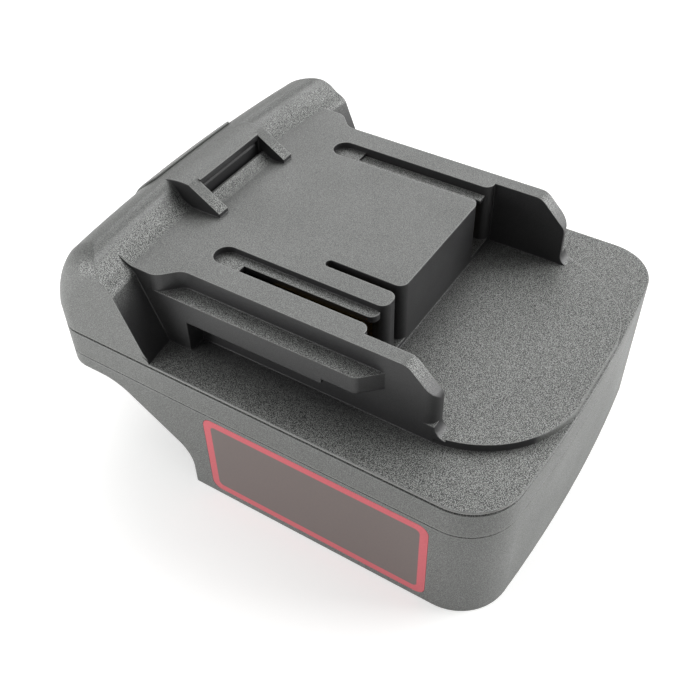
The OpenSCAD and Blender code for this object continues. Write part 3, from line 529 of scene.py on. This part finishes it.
print_grain = shade(
    tree, "ShaderNodeTexNoise", {"Vector": place, "Scale": 1000 / print_mm, "Detail": 3.0}
).outputs["Fac"]
ground = shade(
    tree, "ShaderNodeMix", {0: print_grain, 6: linear("#5a4f4c"), 7: linear("#695c58")}, data_type="RGBA"
).outputs[2]
red = shade(
    tree, "ShaderNodeMix", {0: print_grain, 6: linear("#bd4650"), 7: linear("#cf5c66")}, data_type="RGBA"
).outputs[2]
printed = shade(tree, "ShaderNodeMix", {0: bordered, 6: ground, 7: red}, data_type="RGBA").outputs[2]
satin = shade(
    tree, "ShaderNodeMapRange", {"Value": print_grain, "To Min": 0.32, "To Max": 0.44}
).outputs["Result"]
film = shade(
    tree,
    "ShaderNodeBsdfPrincipled",
    {"Base Color": printed, "Roughness": satin, "IOR": 1.57},
)
shade(tree, "ShaderNodeOutputMaterial", {"Surface": film.outputs["BSDF"]})
dress("side_label", label_film)

# The stage: a sheet of white card under the adapter, a white tent all round and three soft boxes.
# The level faces mirror the left one, behind and above, and the slopes mirror the right one. A small
# one in front lights the labelled side. The card lies a hair below the rim that stands on it.
reach_m, card_drop = 1.6, 0.00002
card = bpy.data.meshes.new("white_card")
corners = np.array([[-1, -1, 0], [1, -1, 0], [1, 1, 0], [-1, 1, 0]]) * reach_m - [0, 0, card_drop]
card.from_pydata(corners.tolist(), [], [[0, 1, 2, 3]])
floor = bpy.data.objects.new("white_card", card)
bpy.context.scene.collection.objects.link(floor)
paper, tree = new_material("white_card_matt")
ray = shade(tree, "ShaderNodeLightPath", {}).outputs
shiny = shade(
    tree, "ShaderNodeMath", {0: ray["Is Glossy Ray"], 1: ray["Is Transmission Ray"]}, operation="ADD"
).outputs["Value"]
seen = shade(tree, "ShaderNodeMath", {0: ray["Is Camera Ray"], 1: shiny}, operation="ADD").outputs["Value"]
lifted = shade(tree, "ShaderNodeMath", {0: seen, 1: 0.33}, operation="MULTIPLY").outputs["Value"]
matt = shade(tree, "ShaderNodeBsdfDiffuse", {"Color": linear("#f6f6f5")}).outputs["BSDF"]
white = (1.0, 1.0, 1.0, 1.0)
lift = shade(tree, "ShaderNodeEmission", {"Color": white, "Strength": lifted}).outputs["Emission"]
both = shade(tree, "ShaderNodeAddShader", {0: matt, 1: lift}).outputs["Shader"]
shade(tree, "ShaderNodeOutputMaterial", {"Surface": both})
card.materials.append(paper)

tent = bpy.data.worlds.new("white_tent")
tent.use_nodes = True
tent.node_tree.nodes.clear()
sky = shade(tent.node_tree, "ShaderNodeBackground", {"Color": white, "Strength": 0.47})
shade(tent.node_tree, "ShaderNodeOutputWorld", {"Surface": sky.outputs["Background"]})
bpy.context.scene.world = tent


def soft_lamp(name, place, aim, width, height, watts):
    """A rectangular soft box at a place, turned towards a point."""
    lamp = bpy.data.lights.new(name, "AREA")
    lamp.shape = "RECTANGLE"
    lamp.size, lamp.size_y, lamp.energy = width, height, watts
    made = bpy.data.objects.new(name, lamp)
    bpy.context.scene.collection.objects.link(made)
    away = np.array(place) - np.array(aim)
    turn_z = math.atan2(away[0], -away[1])
    turn_x = math.acos(away[2] / np.linalg.norm(away))
    made.matrix_world = (
        Matrix.Translation(place) @ Matrix.Rotation(turn_z, 4, "Z") @ Matrix.Rotation(turn_x, 4, "X")
    )
    return made


soft_lamp("left_box", (-0.4, 0.6, 0.7), (0.0, 0.0, 0.03), 0.9, 0.7, 4.4)
soft_lamp("right_box", (0.62, 0.58, 0.44), (0.05, 0.05, 0.0), 0.7, 0.6, 8.0)
soft_lamp("front_box", (-0.16, -0.2, 0.1), (-0.03, -0.03, 0.02), 0.12, 0.12, 0.32)

bpy.context.scene.view_settings.view_transform = "Standard"
